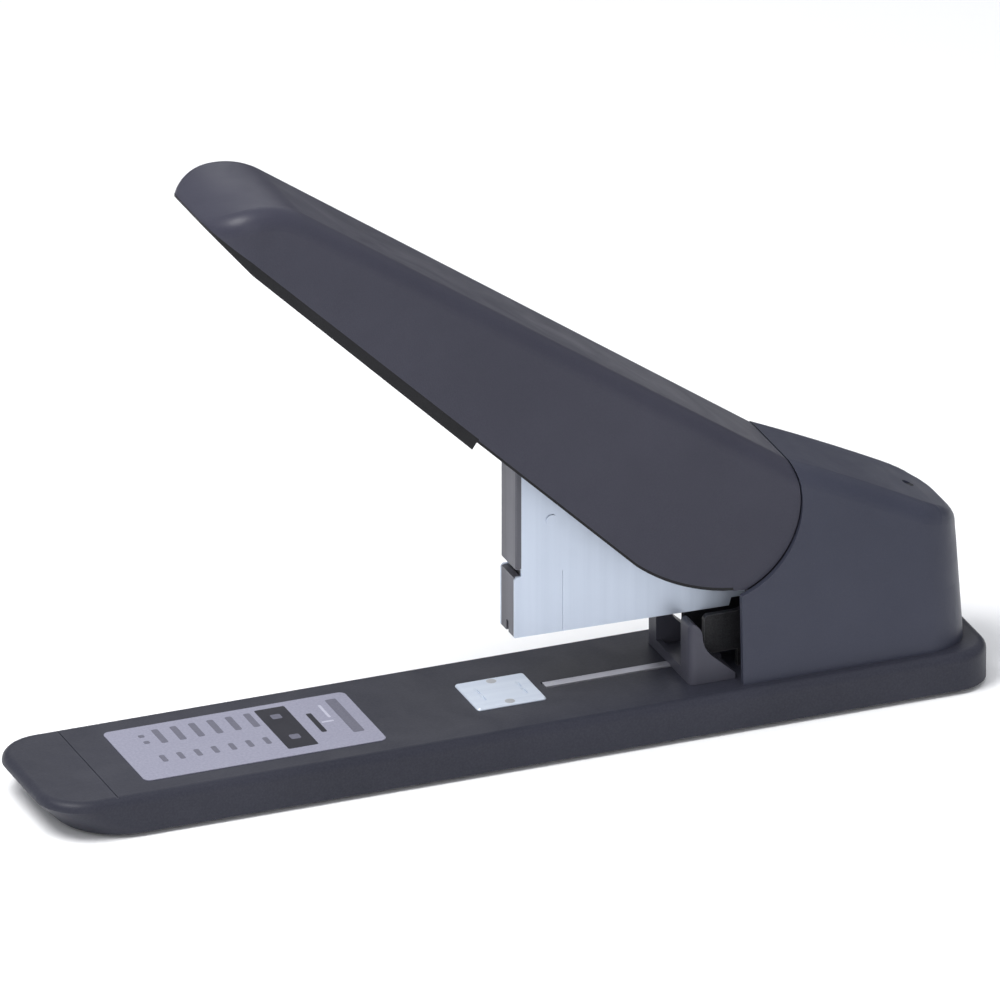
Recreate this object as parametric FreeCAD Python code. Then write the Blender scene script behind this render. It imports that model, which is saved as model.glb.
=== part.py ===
import FreeCAD, Part
import math
import os

# Long reach stapler, in millimetres. The nose points along -X, +Z is up, and the
# origin is under the middle of the base, on the surface that the feet stand on.

# base
base_half_length = 212.0
base_half_width = 37.5
base_top = 18.6
base_rim = 2.0              # height of the tray's lower rim above the table
base_wall = 3.0
base_roof = 4.0             # thickness of the tray's top
front_corner_radius = 20.0
rear_corner_radius = 17.0
nose_foot_radius = 28.0     # of the front corners, where the nose meets the table
base_edge_radius = 4.0
nose_undercut = 11.5        # how far the nose wall leans in towards the table
floor_plate_low = 2.2
floor_plate_high = 4.0
boss_radius = 4.0
bottom_screw_x = (-150.0, 0.0, 150.0)
bottom_screw_y = 25.0
foot_x = 178.0
foot_y = 23.0
foot_radius = 8.0

# label and anvil
label_x = (-166.0, -58.0)
label_half_width = 25.0
label_proud = 0.3
anvil_x = (-13.0, 18.0)
anvil_half_width = 13.5
anvil_proud = 0.8
anvil_thickness = 2.4
anvil_screw_y = 10.4
staple_line = 11.8          # where the pressed magazine sets its staple
groove_reach = 5.6
groove_radius = 6.0
groove_depth = 0.7
groove_width = 1.6

# pivots
pivot_x = 87.0
pivot_z = 97.0
pivot_radius = 4.0
hinge_x = 150.0
hinge_z = 50.0
hinge_radius = 3.5
running_gap = 0.05

# steel side frame
frame_inner = 10.0
frame_sheet = 2.5
frame_foot_y = 25.0
frame_foot_front = 113.0
frame_rear = 188.0
frame_spacer_places = [(118.0, 92.0), (176.0, 32.0), (176.0, 66.0)]
bolt_x = (122.0, 178.0)
bolt_y = 19.5
bolt_radius = 2.5

# lever and handle
lever_inner = 13.5
lever_sheet = 2.0
lever_depth = 17.0
rib_distances = (60.0, 104.0, 160.0, 215.0)      # along the top line, from its rear end
cover_screw_distances = (45.0, 145.0, 205.0)
lobe_radius = 12.0
handle_half_width_front = 32.0
handle_half_width_rear = 26.4
handle_wall = 3.0
handle_edge_radius = 8.0
handle_corner_radius = 20.0  # of the nose, seen from above
handle_plan_rear = 140.0
handle_slice = (-50.0, 50.0)  # a range of Y wider than the handle and the housing
handle_rear_radius = 39.4
handle_rear_top_angle = 25.0
handle_rear_low_angle = -68.5
nose_top = (-95.0, 264.0)
nose_radius = 34.0
nose_end_angle = 129.5
skirt_knee = (52.0, 80.0)
skirt_dip = (75.0, 66.3)
liner_tip_length = 16.0     # over which the liner thickens from the nose
liner_drop = (3.6, 5.0)     # below the skirt's line, behind the nose and at the step
liner_rise = 2.2            # above it
liner_floor = 2.0
liner_rear_x = -22.0
liner_inset = 0.3
rim_height = 1.5            # of the liner's thin rim behind the step
rim_rear_x = 96.0
press_bar = (13.0, 171.5)
press_bar_radius = 5.0

# magazine
magazine_half_width = 8.0
magazine_sheet = 1.2
column_front = 6.0
nose_front = 5.6
nose_low = 46.5
nose_step = 76.0            # a notch above the nose shows the blade
nose_notch = 1.8            # half its height
column_top = 127.0
front_plate_back = 8.6
staple_x = (10.6, 52.0)
staple_top = 72.0
staple_leg = 23.0
staple_half_width = 6.4
core_half_width = 5.2
core_sheet = 1.4
rod_z = 77.5
rod_radius = 1.5
rod_end = 93.0
pusher_length = 10.0
driver_x = (9.3, 10.3)
driver_low = 73.0
driver_half_width = 6.2
head_low = 154.5
head_high = 166.0
spring_seat_z = (96.0, 100.0)
driver_spring_x = 22.0

# rear housing
housing_front = 99.0
housing_seam_radius = 40.2
housing_rear = 205.7
housing_corner_radius = 22.0
housing_half_width_low = 31.5
housing_half_width_high = 26.5
housing_lean = 6.0          # of the rear wall over the height below
housing_high = 119.0
housing_roof = ((123.1, 113.7), (152.7, 99.9), (190.0, 80.9), (204.0, 72.8))
housing_edge_radius = 8.0
post_radius = 3.2
post_top = 40.0
front_posts = (105.5, 26.2)
rear_posts = (192.5, 24.8)  # these stand in from the rounded corners
top_screw = (186.0, 0.0, 82.4)
housing_wall = 2.6

# paper stop and its rail
rail_x = (22.0, 98.6)
rail_screw_x = (26.0, 74.5)
rail_neck = (1.1, 17.9)       # half width, and the height of its top
rail_head = (2.2, 18.9)
rail_groove = (3.0, 16.6)     # half width of the groove in the base, and its floor
stop_x = (78.0, 98.4)
stop_half_width = 24.0
stop_wall_top = 23.6
stop_floor_top = 21.4
stop_post_top = 46.4
fin_inner = 13.5
slide_gap = 0.15


def point(x, y, z):
    return FreeCAD.Vector(x, y, z)


def box(x, y, z):
    return Part.makeBox(x[1] - x[0], y[1] - y[0], z[1] - z[0], point(x[0], y[0], z[0]))


def rod_y(x, z, radius, y):
    return Part.makeCylinder(radius, y[1] - y[0], point(x, y[0], z), point(0, 1, 0))


def rod_z_axis(x, y, radius, z):
    return Part.makeCylinder(radius, z[1] - z[0], point(x, y, z[0]), point(0, 0, 1))


def polar(radius, angle, centre=(pivot_x, pivot_z)):
    turn = math.radians(angle)
    return (centre[0] + radius * math.cos(turn), centre[1] + radius * math.sin(turn))


def outline(start, steps):
    """A closed side outline: each step is an end point, or an arc's middle and end points."""
    edges = []
    here = start
    for step in steps + [start]:
        if isinstance(step[0], tuple):
            middle, end = step
            curve = Part.Arc(*[point(p[0], 0, p[1]) for p in (here, middle, end)])
            edges.append(curve.toShape())
        else:
            end = step
            if math.dist(here, end) > 1e-6:
                edges.append(Part.makeLine(point(here[0], 0, here[1]), point(end[0], 0, end[1])))
        here = end
    return Part.Wire(edges)


def slab(wire, y):
    """The solid that a side outline sweeps from one Y to another."""
    face = Part.Face(wire)
    face.translate(point(0, y[0], 0))
    return face.extrude(point(0, y[1] - y[0], 0))


def both_sides(shape):
    return [shape, shape.mirror(point(0, 0, 0), point(0, 1, 0))]


def group(shapes):
    return Part.makeCompound(shapes)


def merged(shapes):
    whole = shapes[0]
    for shape in shapes[1:]:
        whole = whole.fuse(shape)
    return whole.removeSplitter()


def without(shape, tools):
    for tool in tools:
        shape = shape.cut(tool)
    return shape


def plan_wire(x, half_width, radii, z):
    """A rectangle seen from above, with round front and rear corners, at one height."""
    front, rear = radii
    corners = [(x[1] - rear, half_width - rear, rear), (x[0] + front, half_width - front, front),
               (x[0] + front, front - half_width, front), (x[1] - rear, rear - half_width, rear)]
    arcs = []
    for quarter, (centre_x, centre_y, radius) in enumerate(corners):
        spots = [polar(radius, 90 * quarter + turn, (centre_x, centre_y)) for turn in (0, 45, 90)]
        arcs.append([point(spot[0], spot[1], z) for spot in spots])
    edges = []
    for here, following in zip(arcs, arcs[1:] + arcs[:1]):
        edges.append(Part.Arc(*here).toShape())
        edges.append(Part.makeLine(here[2], following[0]))
    return Part.Wire(edges)


def rounded_plan(x, half_width, radii, z):
    """An upright block whose four plan corners are round."""
    return Part.Face(plan_wire(x, half_width, radii, z[0])).extrude(point(0, 0, z[1] - z[0]))


def upright(edge):
    ends = edge.Vertexes
    if len(ends) != 2:
        return False
    across = math.hypot(ends[0].X - ends[1].X, ends[0].Y - ends[1].Y)
    return across < 1e-6 and abs(ends[0].Z - ends[1].Z) > 0.1


def coil(radius, wire, turns, x, y, z):
    """A standing compression spring with its axis along +Z and square-cut ends."""
    length = z[1] - z[0] - 2 * wire
    path = Part.makeHelix(length / turns, length, radius)
    ring = Part.Wire(Part.makeCircle(wire, point(radius, 0, 0), point(0, 1, 0)))
    spring = Part.Wire(path).makePipeShell([ring], True, True)
    spring.translate(point(x, y, z[0] + wire))
    return spring


# ---- base -------------------------------------------------------------------


def leaning_plan():
    """The base's plan, drawn in towards the table at the nose; it is left long at the rear."""
    high = base_top - base_edge_radius
    rear = base_half_length + 40.0
    upper = plan_wire((-base_half_length, rear), base_half_width,
                      (front_corner_radius, rear_corner_radius), high)
    lower = plan_wire((nose_foot_x(), rear), base_half_width, (nose_foot_radius, rear_corner_radius),
                      base_rim)
    above = Part.Face(upper).extrude(point(0, 0, base_edge_radius + 1.0))
    return merged([Part.makeLoft([lower, upper], True, True), above])


def nose_foot_x():
    return -base_half_length + nose_undercut


def bottom_screw_places():
    return [(x, y) for x in bottom_screw_x for y in (-bottom_screw_y, bottom_screw_y)]


def anvil_screw_places():
    middle = (anvil_x[0] + anvil_x[1]) / 2
    return [(middle, -anvil_screw_y), (middle, anvil_screw_y)]


def frame_bolt_places():
    return [(x, y) for x in bolt_x for y in (-bolt_y, bolt_y)]


def inner_radii():
    return (nose_foot_radius - base_wall, rear_corner_radius - base_wall)


def base_tray():
    ends = (-base_half_length, base_half_length)
    tray = rounded_plan(ends, base_half_width, (front_corner_radius, rear_corner_radius),
                        (base_rim, base_top))
    rim = [e for e in tray.Edges if e.BoundBox.ZMin > base_top - 0.01]
    tray = tray.makeFillet(base_edge_radius, rim)
    tray = tray.common(leaning_plan())
    inside = rounded_plan((nose_foot_x() + base_wall, ends[1] - base_wall), base_half_width - base_wall,
                          inner_radii(), (base_rim - 1, base_top - base_roof))
    tray = tray.cut(inside)
    bosses = [rod_z_axis(x, y, boss_radius, (floor_plate_high, base_top - base_roof + 0.5))
              for x, y in bottom_screw_places()]
    tray = merged([tray] + bosses)
    cuts = [label_plate(), anvil_block(), crease(), rail_slot()]
    cuts += [rod_z_axis(x, y, bolt_radius + 0.1, (10, base_top + 1)) for x, y in frame_bolt_places()]
    return without(tray, cuts + bottom_screws() + anvil_screws() + rail_screws() + housing_screws())


def crease():
    return box((-182.6, -181.8), (-base_half_width, base_half_width), (base_top - 0.4, base_top + 1))


def bottom_screws():
    screws = []
    for x, y in bottom_screw_places():
        head = Part.makeCone(3.0, 1.5, 1.5, point(x, y, floor_plate_low), point(0, 0, 1))
        shank = rod_z_axis(x, y, 1.5, (floor_plate_low + 1.5, 12.0))
        screws.append(merged([head, shank]))
    return screws


def base_bottom_plate():
    gap = base_wall + 0.3
    plate = rounded_plan((nose_foot_x() + gap, base_half_length - gap), base_half_width - gap,
                         inner_radii(), (floor_plate_low, floor_plate_high))
    return without(plate, bottom_screws() + rubber_feet())


def rubber_feet():
    feet = []
    for x in (-foot_x, foot_x):
        for y in (-foot_y, foot_y):
            pad = Part.makeCone(foot_radius - 0.4, foot_radius, floor_plate_low, point(x, y, 0))
            stub = rod_z_axis(x, y, 4.0, (floor_plate_low, floor_plate_high + 1.0))
            feet.append(merged([pad, stub]))
    return feet


def label_plate():
    plate = box(label_x, (-label_half_width, label_half_width), (base_top - 0.5, base_top + label_proud))
    return plate.makeFillet(3.0, [e for e in plate.Edges if upright(e)])


def anvil_block():
    z = (base_top + anvil_proud - anvil_thickness, base_top + anvil_proud)
    plate = box(anvil_x, (-anvil_half_width, anvil_half_width), z)
    return plate.makeFillet(1.5, [e for e in plate.Edges if upright(e)])


def clinch_groove(x, side):
    """A shallow curved pocket that turns one staple leg in towards the middle."""
    middle = side * (groove_reach / 2 + 0.5)
    centre = base_top + anvil_proud + groove_radius - groove_depth
    return Part.makeCylinder(groove_radius, groove_width, point(x - groove_width / 2, middle, centre),
                             point(1, 0, 0))


def anvil_plate():
    plate = anvil_block()
    middle = (anvil_x[0] + anvil_x[1]) / 2
    lines = (staple_line, 2 * middle - staple_line)
    grooves = [clinch_groove(x, side) for x in lines for side in (-1, 1)]
    top_rim = [e for e in plate.Edges if e.BoundBox.ZMin > base_top + anvil_proud - 0.01]
    plate = plate.makeChamfer(0.5, top_rim)
    return without(plate, grooves + anvil_screws())


def anvil_screws():
    screws = []
    top = base_top + anvil_proud
    for x, y in anvil_screw_places():
        head = Part.makeCone(1.2, 2.2, 1.0, point(x, y, top - 1.0), point(0, 0, 1))
        shank = rod_z_axis(x, y, 1.2, (base_top - base_roof + 0.4, top - 1.0))
        screws.append(merged([head, shank]))
    return screws


def rail_slot():
    return box((rail_x[0] - 0.5, rail_x[1] + 0.5), (-rail_groove[0], rail_groove[0]),
               (rail_groove[1], base_top + 1.0))


def stop_rail():
    neck = box(rail_x, (-rail_neck[0], rail_neck[0]), (rail_groove[1], rail_neck[1]))
    head = box(rail_x, (-rail_head[0], rail_head[0]), (rail_neck[1], rail_head[1]))
    return without(merged([neck, head]), rail_screws())


def rail_screws():
    screws = []
    for x in rail_screw_x:
        head = rod_z_axis(x, 0, 0.9, (rail_head[1] - 0.5, rail_head[1]))
        shank = rod_z_axis(x, 0, 0.6, (base_top - base_roof + 0.5, rail_head[1] - 0.5))
        screws.append(merged([head, shank]))
    return screws


# ---- steel side frame -------------------------------------------------------


def frame_outline():
    """The side plate: a foot, a low front lobe, a window for the magazine and an arm."""
    top = polar(13.0, 60.0)
    nose = polar(13.0, 160.0)
    low = polar(13.0, 270.0)
    return outline((104.0, base_top), [
        (104.0, 26.5),
        (91.0, 26.5),
        ((89.6, 27.1), (89.0, 28.5)),
        (89.0, 42.0),
        ((89.6, 43.4), (91.0, 44.0)),
        (103.0, 44.0),
        ((106.8, 45.6), (108.4, 49.4)),
        (108.4, 64.0),
        ((104.0, 73.0), (97.0, 79.0)),
        low,
        (nose, top),
        (112.0, 105.0),
        (130.0, 98.0),
        (150.0, 88.0),
        (170.0, 78.0),
        (frame_rear, 66.0),
        (frame_rear, base_top)])


def frame_plate(side):
    inner = side * frame_inner
    outer = side * (frame_inner + frame_sheet)
    plate = slab(frame_outline(), (min(inner, outer), max(inner, outer)))
    edge = side * frame_foot_y
    foot = box((frame_foot_front, frame_rear), (min(outer, edge), max(outer, edge)),
               (base_top, base_top + frame_sheet))
    plate = merged([plate, foot])
    holes = [rod_y(pivot_x, pivot_z, pivot_radius, (-30, 30)),
             rod_y(hinge_x, hinge_z, hinge_radius, (-30, 30))]
    holes += [rod_y(x, z, 2.0, (-30, 30)) for x, z in frame_spacer_places]
    holes += [rod_z_axis(x, y, bolt_radius + 0.1, (10, 30)) for x, y in frame_bolt_places()]
    return without(plate, holes)


def frame_spacers():
    """Tubes between the side plates, each riveted over through a small hole."""
    outer = frame_inner + frame_sheet
    spacers = []
    for x, z in frame_spacer_places:
        body = rod_y(x, z, 4.5, (-frame_inner, frame_inner))
        tenon = rod_y(x, z, 2.0, (-outer - 1.0, outer + 1.0))
        heads = both_sides(rod_y(x, z, 3.4, (outer, outer + 1.0)))
        spacers.append(merged([body, tenon] + heads))
    return spacers


def frame_bolts():
    bolts = []
    seat = base_top + frame_sheet
    for x, y in frame_bolt_places():
        shank = rod_z_axis(x, y, bolt_radius, (8.5, seat))
        head = rod_z_axis(x, y, 4.2, (seat, seat + 3.0))
        socket = hexagon(x, y, 2.0, (seat + 1.4, seat + 3.5))
        bolts.append(merged([shank, head]).cut(socket))
    return bolts


def hexagon(x, y, radius, z):
    corners = [polar(radius, 60 * k, (x, y)) for k in range(7)]
    wire = Part.makePolygon([point(c[0], c[1], z[0]) for c in corners])
    return Part.Face(wire).extrude(point(0, 0, z[1] - z[0]))


def frame_nuts():
    nuts = []
    for x, y in frame_bolt_places():
        nut = hexagon(x, y, 4.6, (base_top - base_roof - 4.0, base_top - base_roof))
        nuts.append(nut.cut(rod_z_axis(x, y, bolt_radius, (5, 20))))
    return nuts


def handle_pivot_pin():
    return rod_y(pivot_x, pivot_z, pivot_radius, (-18.0, 18.0))


def magazine_pivot_pin():
    return rod_y(hinge_x, hinge_z, hinge_radius, (-15.0, 15.0))


def ring(x, z, inner, outer, y):
    return rod_y(x, z, outer, y).cut(rod_y(x, z, inner, (y[0] - 1, y[1] + 1)))


def pivot_washers():
    outer = frame_inner + frame_sheet
    return both_sides(ring(pivot_x, pivot_z, pivot_radius, 8.0, (outer, outer + 0.8)))


def pivot_clips():
    lever_outer = lever_inner + lever_sheet
    frame_outer = frame_inner + frame_sheet
    clips = both_sides(ring(pivot_x, pivot_z, pivot_radius, 6.5, (lever_outer + 0.4, lever_outer + 1.4)))
    clips += both_sides(ring(hinge_x, hinge_z, hinge_radius, 6.0, (frame_outer, frame_outer + 1.0)))
    return clips


def head_return_spring():
    return coil(6.5, 0.9, 5.5, 124.0, 0.0, (base_top, 47.6))


# ---- rear housing -----------------------------------------------------------


def housing_outline(inset):
    """Side outline; the inner one is open at the front, the seam and the bottom."""
    seam = housing_seam_radius
    front = housing_front
    floor = base_top
    if inset > 0:
        seam -= 1.5
        front -= 2.0
        floor -= 1.0
    drop = inset * 1.15
    roof = [(x, z - drop) for x, z in housing_roof]
    low = polar(seam, -math.degrees(math.acos((front - pivot_x) / seam)))
    return outline((front, floor), [
        low,
        (polar(seam, -20.0), roof[0]),
        (roof[1], roof[2]),
        roof[3],
        (housing_rear + 10.0, roof[3][1] - 5.0),
        (housing_rear + 10.0, floor)])


def housing_plan(inset):
    """The housing's plan drawn up from the base: its sides and rear lean in."""
    radii = (housing_corner_radius - inset, housing_corner_radius - inset)
    low = plan_wire((60.0, housing_rear - inset), housing_half_width_low - inset, radii, base_top - 1.0)
    high = plan_wire((60.0, housing_rear - housing_lean - inset), housing_half_width_high - inset, radii,
                     housing_high)
    return Part.makeLoft([low, high], True, True)


def housing_solid(inset):
    body = slab(housing_outline(inset), handle_slice).common(housing_plan(inset))
    return body.makeFillet(housing_edge_radius - inset, housing_top_edges(body))


def housing_top_edges(body):
    """The edges where the roof meets the sides and the rounded rear."""
    chosen = []
    for edge in body.Edges:
        centre = edge.CenterOfMass
        if centre.x > 130.0 and edge.BoundBox.ZMin > 60.0 and abs(centre.y) > 1.0:
            chosen.append(edge)
    return chosen


def rear_housing():
    outer = housing_solid(0)
    shell = outer.cut(housing_solid(housing_wall))
    posts = []
    for x, y in housing_screw_places():
        posts.append(rod_z_axis(x, y, post_radius, (base_top, post_top)))
    posts.append(Part.makeCylinder(3.4, 22.0, point(*top_screw), point(0, 0, -1)))
    shell = merged([shell] + [post.common(outer) for post in posts])
    return without(shell, housing_screws() + [housing_top_recess()])


def housing_screw_places():
    return [(x, side * y) for x, y in (front_posts, rear_posts) for side in (-1, 1)]


def housing_screws():
    """Screws that come up through the base into the posts of the housing."""
    screws = []
    for x, y in housing_screw_places():
        head = rod_z_axis(x, y, 2.8, (base_top - base_roof - 1.6, base_top - base_roof))
        shank = rod_z_axis(x, y, 1.4, (base_top - base_roof, 34.0))
        screws.append(merged([head, shank]))
    return screws


def housing_top_recess():
    x, y, z = top_screw
    wide = rod_z_axis(x, y, 2.6, (z - 2.2, z + 3.0))
    narrow = rod_z_axis(x, y, 1.4, (z - 18.0, z))
    return merged([wide, narrow])


def housing_top_screw():
    x, y, z = top_screw
    head = rod_z_axis(x, y, 2.5, (z - 2.2, z - 0.6))
    shank = rod_z_axis(x, y, 1.4, (z - 14.0, z - 2.2))
    slot = box((x - 2.6, x + 2.6), (-0.4, 0.4), (z - 1.3, z))
    return merged([head, shank]).cut(slot)


# ---- handle -----------------------------------------------------------------


def top_line():
    """Unit direction along the handle's top towards the nose, and the outward normal."""
    rear = polar(handle_rear_radius, handle_rear_top_angle)
    length = math.dist(rear, nose_top)
    along = ((nose_top[0] - rear[0]) / length, (nose_top[1] - rear[1]) / length)
    return rear, along, (along[1], -along[0])


def top_point(distance, depth):
    """A point on the handle's top line, measured from its rear end, at a depth below it."""
    rear, along, normal = top_line()
    return (rear[0] + along[0] * distance - normal[0] * depth,
            rear[1] + along[1] * distance - normal[1] * depth)


def nose_centre():
    normal = top_line()[2]
    return (nose_top[0] - normal[0] * nose_radius, nose_top[1] - normal[1] * nose_radius)


def nose_point(radius, angle):
    return polar(radius, angle, nose_centre())


def normal_angle():
    normal = top_line()[2]
    return math.degrees(math.atan2(normal[1], normal[0]))


def handle_outline():
    half_turn = (normal_angle() + nose_end_angle) / 2
    return outline(nose_point(nose_radius, nose_end_angle), [
        skirt_knee,
        (skirt_dip, polar(handle_rear_radius, handle_rear_low_angle)),
        (polar(handle_rear_radius, -20.0), polar(handle_rear_radius, handle_rear_top_angle)),
        nose_top,
        (nose_point(nose_radius, half_turn), nose_point(nose_radius, nose_end_angle))])


def cavity_outline():
    """The hollow of the handle, open below and behind."""
    radius = nose_radius - handle_wall
    end = nose_end_angle - 7.0
    half_turn = (normal_angle() + end) / 2
    tip = nose_point(radius, end)
    rear_top = top_point(-12.0, handle_wall)
    return outline(tip, [
        (tip[0], tip[1] - 9.0),
        (skirt_knee[0] - 4.0, skirt_knee[1] - 5.0),
        (skirt_dip[0], skirt_dip[1] - 9.0),
        (rear_top[0], 50.0),
        rear_top,
        nose_point(radius, normal_angle()),
        (nose_point(radius, half_turn), tip)])


def handle_half_width(x):
    """Half the handle's width at a given X: it is widest at the nose."""
    front = nose_point(nose_radius, nose_end_angle)[0]
    share = (x - front) / (handle_plan_rear - front)
    return handle_half_width_front + (handle_half_width_rear - handle_half_width_front) * share


def handle_plan(inset):
    """An upright prism in the shape of the handle seen from above, with a rounded nose."""
    front = nose_point(nose_radius, nose_end_angle)[0] - 0.5 + inset
    wide = handle_half_width(front) - inset
    narrow = handle_half_width(handle_plan_rear) - inset
    corners = [(front, -wide), (handle_plan_rear, -narrow), (handle_plan_rear, narrow), (front, wide)]
    wire = Part.makePolygon([point(x, y, 0) for x, y in corners + corners[:1]])
    prism = Part.Face(wire).extrude(point(0, 0, 320.0))
    nose_edges = [e for e in prism.Edges if upright(e) and e.CenterOfMass.x < front + 0.01]
    return prism.makeFillet(handle_corner_radius - inset, nose_edges)


def handle_body(wire, inset, radius):
    """A side outline cut to the handle's plan, with its upper side edges rounded."""
    body = slab(wire, handle_slice).common(handle_plan(inset))
    edges = []
    for edge in body.Edges:
        centre = edge.CenterOfMass
        beside = abs(centre.y) > handle_half_width_rear / 2
        above = centre.z > skirt_line(centre.x) + 4.0 and edge.BoundBox.ZMin > pivot_z
        if beside and above and not upright(edge):
            edges.append(edge)
    return body.makeFillet(radius, edges)


def handle_cover():
    outer = handle_body(handle_outline(), 0, handle_edge_radius)
    inner = handle_body(cavity_outline(), handle_wall, handle_edge_radius - handle_wall)
    cover = without(outer, [inner, liner_space()])
    cover = merged([cover] + [rib.common(outer) for rib in handle_ribs()])
    return without(cover, cover_screws())


def skirt_line(x):
    """Height of the skirt's straight lower edge at a given X."""
    tip = nose_point(nose_radius, nose_end_angle)
    return tip[1] + (skirt_knee[1] - tip[1]) * (x - tip[0]) / (skirt_knee[0] - tip[0])


def handle_ribs():
    """Cross ribs under the roof, each side of the lever."""
    ribs = []
    outer_face = lever_inner + lever_sheet + 0.4
    for distance in rib_distances:
        corners = [top_point(distance, 1.5), top_point(distance + 2.0, 1.5),
                   top_point(distance + 2.0, 14.0), top_point(distance, 14.0)]
        inner = handle_half_width(corners[0][0]) - handle_wall
        rib = slab(outline(corners[0], corners[1:]), (outer_face, inner + 0.5))
        ribs += both_sides(rib)
    return ribs


def liner_band(tip_drop, drop, rise):
    """Side outline of the liner in front of the step, below and above the skirt's line."""
    tip = nose_point(nose_radius, nose_end_angle)
    full = tip[0] + liner_tip_length
    rear = liner_rear_x + 3.0
    return outline((tip[0] - 1.0, tip[1] + 1.6), [
        (tip[0] - 0.4, tip[1] - tip_drop),
        (full, skirt_line(full) - drop[0]),
        (liner_rear_x, skirt_line(liner_rear_x) - drop[1]),
        (rear, skirt_line(rear) + rise),
        (full, skirt_line(full) + rise)])


def rim_strip():
    """The lowest part of the skirt from the step to the rear, which the liner's rim takes up."""
    whole = slab(handle_outline(), handle_slice)
    lifted = whole.copy()
    lifted.translate(point(0, 0, rim_height))
    behind = box((liner_rear_x, rim_rear_x), handle_slice, (50.0, 200.0))
    return whole.cut(lifted).common(behind)


def liner_space():
    """What the cover leaves free for the liner."""
    return merged([slab(liner_band(20.0, (20.0, 20.0), liner_rise), handle_slice), rim_strip()])


def handle_liner():
    """The black plate that closes the front of the handle from below, with a rim along the skirt."""
    plate = slab(liner_band(-0.2, liner_drop, liner_rise), handle_slice)
    floor = (liner_floor - liner_drop[0], liner_floor - liner_drop[1])
    pocket = slab(liner_pocket(floor), handle_slice).common(handle_plan(handle_wall + 0.4))
    hollow = slab(cavity_outline(), handle_slice).common(handle_plan(handle_wall))
    liner = merged([plate.cut(pocket), rim_strip().cut(hollow)])
    return liner.common(handle_plan(liner_inset))


def liner_pocket(floor):
    """Side outline of the hollow in the liner, from its floor up past its top."""
    tip = nose_point(nose_radius, nose_end_angle)
    front = tip[0] + liner_tip_length
    rear = liner_rear_x + 6.0
    return outline((front, skirt_line(front) + 30.0), [
        (front, skirt_line(front) + floor[0]),
        (rear, skirt_line(rear) + floor[1]),
        (rear, skirt_line(rear) + 30.0)])


def lever_outline(depth_from):
    """Side outline of the lever; its flanges run down to the pivot."""
    web = handle_wall
    front = 220.0
    low_front = top_point(front, web + lever_depth)
    knee = top_point(95.0, web + lever_depth + 3.0)
    tail = top_point(26.0, web)
    lobe_left = polar(lobe_radius, 190.0)
    lobe_low = polar(lobe_radius, 270.0)
    lobe_right = polar(lobe_radius, 20.0)
    return outline(top_point(front, depth_from), [
        top_point(front + 3.0, web + 6.0),
        low_front, knee, lobe_left, (lobe_low, lobe_right),
        (tail[0] + 2.0, tail[1] - 8.0), top_point(26.0, depth_from)])


def lever_channel():
    outer = lever_inner + lever_sheet
    block = slab(lever_outline(handle_wall), (-outer, outer))
    hollow = slab(lever_outline_inner(), (-lever_inner, lever_inner))
    lever = block.cut(hollow)
    holes = [rod_y(pivot_x, pivot_z, pivot_radius + running_gap, (-40, 40)),
             rod_y(press_bar[0], press_bar[1], 3.0, (-40, 40))]
    return without(lever, holes + cover_screws())


def lever_inner_depth():
    return handle_wall + 2.5


def lever_outline_inner():
    depth = lever_inner_depth()
    front = top_point(260.0, depth)
    rear = top_point(-5.0, depth)
    return outline(front, [top_point(260.0, 60.0), (press_bar[0], 60.0), (140.0, 60.0), rear])


def press_bar_shape():
    """The round bar across the lever that pushes the driver's head."""
    x, z = press_bar
    outer = lever_inner + lever_sheet
    middle = rod_y(x, z, press_bar_radius, (-lever_inner, lever_inner))
    tenon = rod_y(x, z, 3.0, (-outer - 1.0, outer + 1.0))
    return merged([middle, tenon])


def cover_screws():
    """Screws from inside the lever into the roof of the cover."""
    normal = top_line()[2]
    up = point(normal[0], 0, normal[1])
    screws = []
    for distance in cover_screw_distances:
        x, z = top_point(distance, lever_inner_depth() + 1.8)
        head = Part.makeCylinder(3.2, 1.8, point(x, 0, z), up)
        shank = Part.makeCylinder(1.4, lever_inner_depth() + 0.2, point(x, 0, z), up)
        screws.append(merged([head, shank]))
    return screws


# ---- magazine ---------------------------------------------------------------


def casing_outline():
    lug = (hinge_x, hinge_z)
    shoulder = nose_step - nose_notch
    return outline((nose_front, nose_low), [
        (102.0, 44.8),
        (103.0, 48.3),
        (136.0, 48.3),
        (polar(11.0, 225.0, lug), polar(11.0, 270.0, lug)),
        (polar(11.0, 0.0, lug), polar(11.0, 75.0, lug)),
        (112.0, 72.0),
        (34.0, column_top - 8.0),
        (30.0, column_top),
        (front_plate_back, column_top),
        (front_plate_back, shoulder),
        (nose_front + 1.0, shoulder),
        (nose_front, shoulder - 1.4)])


def casing_hollow():
    """The staple channel, the space for the pusher's rod and the driver's column."""
    inner = magazine_half_width - magazine_sheet
    y = (-inner, inner)
    channel = box((nose_front - 1, rod_end + 2.0), y, (nose_low - 5, rod_z + 3.5))
    taper = slab(outline((front_plate_back - 1, 79.0), [
        (82.0, 79.0),
        (30.0, column_top - 10.5),
        (30.0, column_top + 2),
        (front_plate_back - 1, column_top + 2)]), y)
    return merged([channel, taper])


def magazine_casing():
    casing = slab(casing_outline(), (-magazine_half_width, magazine_half_width))
    casing = casing.cut(casing_hollow())
    inner = magazine_half_width - 2.4
    rear = slab(outline((102.0, 51.0), [(134.0, 51.0), (134.0, 59.0), (102.0, 60.0)]), (-inner, inner))
    hole = rod_y(hinge_x, hinge_z, hinge_radius + running_gap, (-20, 20))
    spring_relief = rod_z_axis(124.0, 0, 7.6, (40.0, 48.0))
    return without(casing, [rear, hole, spring_relief] + both_sides(casing_seam()) + casing_rivets())


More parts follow.
